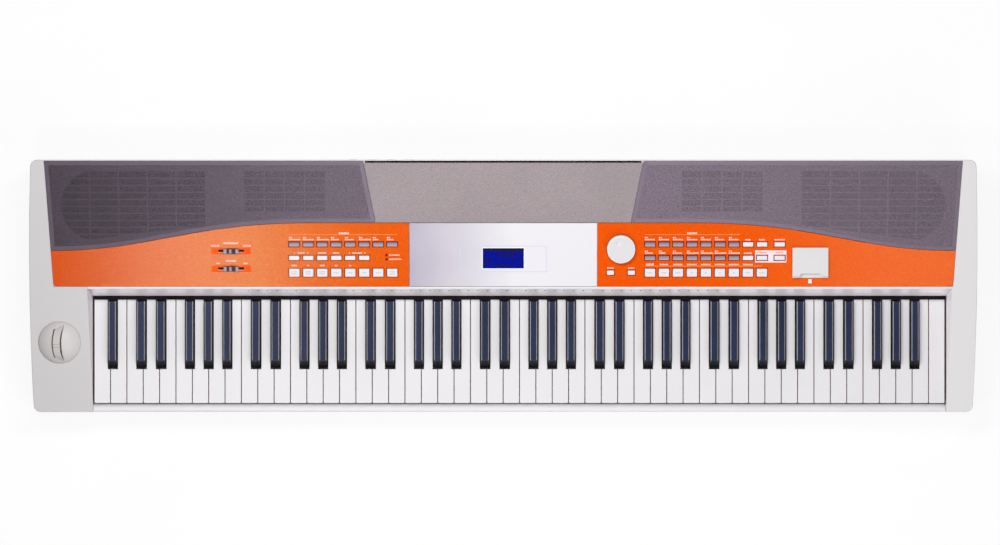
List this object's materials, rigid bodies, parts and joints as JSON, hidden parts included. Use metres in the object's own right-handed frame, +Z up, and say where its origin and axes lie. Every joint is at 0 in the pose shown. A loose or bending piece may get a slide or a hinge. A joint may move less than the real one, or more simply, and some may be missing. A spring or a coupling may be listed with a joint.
{
  "type": "arranger keyboard",
  "caption": "Full-length electronic arranger keyboard with hinged piano keys, sloping control panel with button banks, sliders and dial, display, speaker grilles and a domed pitch wheel.",
  "frame": {"origin": "bottom centre of the bounding box, on the floor under the feet", "axes": "+X to the player's right along the keyboard, +Y from the player to the rear, +Z up"},
  "size_m": [1.3558, 0.361, 0.131],
  "materials": {
    "white_shell": "satin",
    "orange_panel": "satin",
    "silver_panel": "satin",
    "grille": "matt",
    "mesh": "satin",
    "white_key": "gloss",
    "black_key": "satin",
    "felt": "matt",
    "white_button": "satin",
    "grey_button": "satin",
    "display": "gloss",
    "black_part": "satin",
    "board": "satin",
    "steel": "satin",
    "lamp_red": "gloss",
    "lamp_white": "gloss",
    "rubber": "matt",
    "silver_plastic": "satin"
  },
  "bodies": {
    "case": {"bottom_case": "white_shell", "top_case": "white_shell", "key_slip": "white_shell", "left_control_panel": "orange_panel", "right_control_panel": "orange_panel", "display_panel": "silver_panel", "display_glass": "display", "display_module": "black_part", "left_grille": "grille", "right_grille": "grille", "grille_mesh": "mesh", "rear_deck": "grille", "key_felt": "felt", "pitch_bend_dome": "silver_plastic", "red_lamps": "lamp_red", "card_lamp": "lamp_white", "key_chassis": "steel", "hinge_rod": "steel", "contact_board": "board", "key_springs": "steel", "switch_boards": "board", "control_bodies": "black_part", "card_socket": "black_part", "circuit_boards": "board", "speakers": "black_part", "jack_plate": "black_part", "audio_jacks": "black_part", "rear_ports": "black_part", "rubber_feet": "rubber", "case_screws": "steel", "standoffs": "steel"},
    "style_buttons": {"style_buttons": "grey_button"},
    "function_buttons": {"function_buttons": "white_button"},
    "pad_buttons": {"pad_buttons": "white_button"},
    "value_buttons": {"value_buttons": "white_button"},
    "voice_buttons": {"voice_buttons": "grey_button"},
    "option_buttons": {"option_buttons": "white_button"},
    "recorder_buttons": {"recorder_buttons": "white_button"},
    "white_keys_low": {"white_keys_low": "white_key"},
    "white_keys_high": {"white_keys_high": "white_key"},
    "key_c_four": {"key_c_four": "white_key"},
    "key_d_four": {"key_d_four": "white_key"},
    "key_e_four": {"key_e_four": "white_key"},
    "key_f_four": {"key_f_four": "white_key"},
    "key_g_four": {"key_g_four": "white_key"},
    "key_a_four": {"key_a_four": "white_key"},
    "key_b_four": {"key_b_four": "white_key"},
    "black_keys_low": {"black_keys_low": "black_key"},
    "black_keys_high": {"black_keys_high": "black_key"},
    "key_c_sharp_four": {"key_c_sharp_four": "black_key"},
    "key_d_sharp_four": {"key_d_sharp_four": "black_key"},
    "key_f_sharp_four": {"key_f_sharp_four": "black_key"},
    "key_g_sharp_four": {"key_g_sharp_four": "black_key"},
    "key_a_sharp_four": {"key_a_sharp_four": "black_key"},
    "data_dial": {"data_dial": "silver_plastic"},
    "balance_slider": {"balance_slider": "grey_button"},
    "volume_slider": {"volume_slider": "grey_button"},
    "pitch_bend_wheel": {"pitch_bend_wheel": "black_part"},
    "card_cover": {"card_cover": "white_shell"},
    "power_button": {"power_button": "grey_button"}
  },
  "joints": [
    {"name": "white_keys_low_press", "type": "hinge", "parent": "case", "child": "white_keys_low", "pos_m": [0, 0.03648, 0.062], "axis": [1, 0, 0], "range_deg": [0, 2.8], "stiffness_Nm_per_rad": 11.5, "springref_deg": -18.33},
    {"name": "white_keys_high_press", "type": "hinge", "parent": "case", "child": "white_keys_high", "pos_m": [0, 0.03648, 0.062], "axis": [1, 0, 0], "range_deg": [0, 2.8], "stiffness_Nm_per_rad": 11, "springref_deg": -18.33},
    {"name": "key_c_four_press", "type": "hinge", "parent": "case", "child": "key_c_four", "pos_m": [0, 0.03648, 0.062], "axis": [1, 0, 0], "range_deg": [0, 2.8], "stiffness_Nm_per_rad": 0.5, "springref_deg": -18.33},
    {"name": "key_d_four_press", "type": "hinge", "parent": "case", "child": "key_d_four", "pos_m": [0, 0.03648, 0.062], "axis": [1, 0, 0], "range_deg": [0, 2.8], "stiffness_Nm_per_rad": 0.5, "springref_deg": -18.33},
    {"name": "key_e_four_press", "type": "hinge", "parent": "case", "child": "key_e_four", "pos_m": [0, 0.03648, 0.062], "axis": [1, 0, 0], "range_deg": [0, 2.8], "stiffness_Nm_per_rad": 0.5, "springref_deg": -18.33},
    {"name": "key_f_four_press", "type": "hinge", "parent": "case", "child": "key_f_four", "pos_m": [0, 0.03648, 0.062], "axis": [1, 0, 0], "range_deg": [0, 2.8], "stiffness_Nm_per_rad": 0.5, "springref_deg": -18.33},
    {"name": "key_g_four_press", "type": "hinge", "parent": "case", "child": "key_g_four", "pos_m": [0, 0.03648, 0.062], "axis": [1, 0, 0], "range_deg": [0, 2.8], "stiffness_Nm_per_rad": 0.5, "springref_deg": -18.33},
    {"name": "key_a_four_press", "type": "hinge", "parent": "case", "child": "key_a_four", "pos_m": [0, 0.03648, 0.062], "axis": [1, 0, 0], "range_deg": [0, 2.8], "stiffness_Nm_per_rad": 0.5, "springref_deg": -18.33},
    {"name": "key_b_four_press", "type": "hinge", "parent": "case", "child": "key_b_four", "pos_m": [0, 0.03648, 0.062], "axis": [1, 0, 0], "range_deg": [0, 2.8], "stiffness_Nm_per_rad": 0.5, "springref_deg": -18.33},
    {"name": "black_keys_low_press", "type": "hinge", "parent": "case", "child": "black_keys_low", "pos_m": [0, 0.03648, 0.062], "axis": [1, 0, 0], "range_deg": [0, 2.8], "stiffness_Nm_per_rad": 6.4, "springref_deg": -17.19},
    {"name": "black_keys_high_press", "type": "hinge", "parent": "case", "child": "black_keys_high", "pos_m": [0, 0.03648, 0.062], "axis": [1, 0, 0], "range_deg": [0, 2.8], "stiffness_Nm_per_rad": 6, "springref_deg": -17.19},
    {"name": "key_c_sharp_four_press", "type": "hinge", "parent": "case", "child": "key_c_sharp_four", "pos_m": [0, 0.03648, 0.062], "axis": [1, 0, 0], "range_deg": [0, 2.8], "stiffness_Nm_per_rad": 0.4, "springref_deg": -17.19},
    {"name": "key_d_sharp_four_press", "type": "hinge", "parent": "case", "child": "key_d_sharp_four", "pos_m": [0, 0.03648, 0.062], "axis": [1, 0, 0], "range_deg": [0, 2.8], "stiffness_Nm_per_rad": 0.4, "springref_deg": -17.19},
    {"name": "key_f_sharp_four_press", "type": "hinge", "parent": "case", "child": "key_f_sharp_four", "pos_m": [0, 0.03648, 0.062], "axis": [1, 0, 0], "range_deg": [0, 2.8], "stiffness_Nm_per_rad": 0.4, "springref_deg": -17.19},
    {"name": "key_g_sharp_four_press", "type": "hinge", "parent": "case", "child": "key_g_sharp_four", "pos_m": [0, 0.03648, 0.062], "axis": [1, 0, 0], "range_deg": [0, 2.8], "stiffness_Nm_per_rad": 0.4, "springref_deg": -17.19},
    {"name": "key_a_sharp_four_press", "type": "hinge", "parent": "case", "child": "key_a_sharp_four", "pos_m": [0, 0.03648, 0.062], "axis": [1, 0, 0], "range_deg": [0, 2.8], "stiffness_Nm_per_rad": 0.4, "springref_deg": -17.19},
    {"name": "style_buttons_press", "type": "slide", "parent": "case", "child": "style_buttons", "axis": [0, 0.1564, -0.9877], "range_m": [0, 0.001], "stiffness_N_per_m": 2400, "springref_m": -0.001},
    {"name": "function_buttons_press", "type": "slide", "parent": "case", "child": "function_buttons", "axis": [0, 0.1564, -0.9877], "range_m": [0, 0.001], "stiffness_N_per_m": 1800, "springref_m": -0.001},
    {"name": "pad_buttons_press", "type": "slide", "parent": "case", "child": "pad_buttons", "axis": [0, 0.1564, -0.9877], "range_m": [0, 0.001], "stiffness_N_per_m": 2400, "springref_m": -0.001},
    {"name": "value_buttons_press", "type": "slide", "parent": "case", "child": "value_buttons", "axis": [0, 0.1564, -0.9877], "range_m": [0, 0.001], "stiffness_N_per_m": 600, "springref_m": -0.001},
    {"name": "voice_buttons_press", "type": "slide", "parent": "case", "child": "voice_buttons", "axis": [0, 0.1564, -0.9877], "range_m": [0, 0.001], "stiffness_N_per_m": 4200, "springref_m": -0.001},
    {"name": "option_buttons_press", "type": "slide", "parent": "case", "child": "option_buttons", "axis": [0, 0.1564, -0.9877], "range_m": [0, 0.001], "stiffness_N_per_m": 1800, "springref_m": -0.001},
    {"name": "recorder_buttons_press", "type": "slide", "parent": "case", "child": "recorder_buttons", "axis": [0, 0.1564, -0.9877], "range_m": [0, 0.001], "stiffness_N_per_m": 2700, "springref_m": -0.001},
    {"name": "power_press", "type": "slide", "parent": "case", "child": "power_button", "axis": [0, -1, 0], "range_m": [0, 0.003], "stiffness_N_per_m": 300, "springref_m": -0.001},
    {"name": "dial_turn", "type": "hinge", "parent": "case", "child": "data_dial", "pos_m": [0.1682, 0.0542, 0.11118], "axis": [0, -0.1564, 0.9877], "continuous": true},
    {"name": "balance_slider_slide", "type": "slide", "parent": "case", "child": "balance_slider", "axis": [1, 0, 0], "range_m": [-0.015, 0.015]},
    {"name": "volume_slider_slide", "type": "slide", "parent": "case", "child": "volume_slider", "axis": [1, 0, 0], "range_m": [-0.015, 0.015]},
    {"name": "bend_turn", "type": "hinge", "parent": "case", "child": "pitch_bend_wheel", "pos_m": [-0.63161, -0.07917, 0.08294], "axis": [0.9511, -0.0483, 0.3052], "range_deg": [-40, 40], "stiffness_Nm_per_rad": 0.06},
    {"name": "card_cover_hinge", "type": "hinge", "parent": "case", "child": "card_cover", "pos_m": [0.4387, 0.05449, 0.11315], "axis": [-1, 0, 0], "range_deg": [0, 95]}
  ]
}
